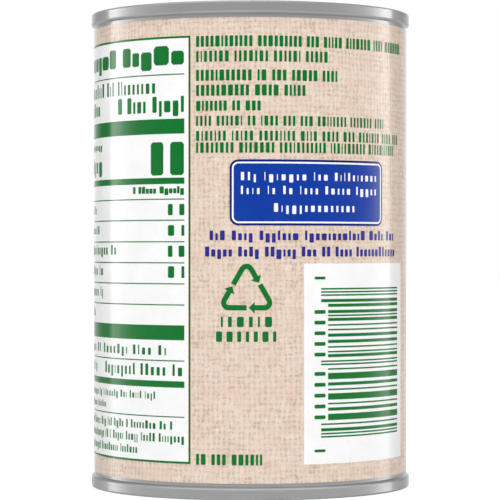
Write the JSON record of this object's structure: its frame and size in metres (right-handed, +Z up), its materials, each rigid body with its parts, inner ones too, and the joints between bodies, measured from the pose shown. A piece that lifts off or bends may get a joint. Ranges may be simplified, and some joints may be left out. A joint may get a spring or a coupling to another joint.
{
  "type": "tomato paste tin",
  "caption": "Shut cylindrical food tin with double-seamed steel ends and a wrap-round paper label in a woven-cloth print.",
  "frame": {"origin": "centre of the foot of the lower seam, on the surface that the tin stands on", "axes": "+Z up along the tin's axis; -Y towards the back of the label, with the nutrition table and the bar code; +X to the right as that side is read"},
  "size_m": [0.0686, 0.0686, 0.1012],
  "materials": {
    "tinplate": "bright tinplate",
    "label_paper": "satin print"
  },
  "bodies": {
    "root": {"can_body": "tinplate", "top_end": "tinplate", "bottom_end": "tinplate", "label": "label_paper"}
  },
  "joints": []
}
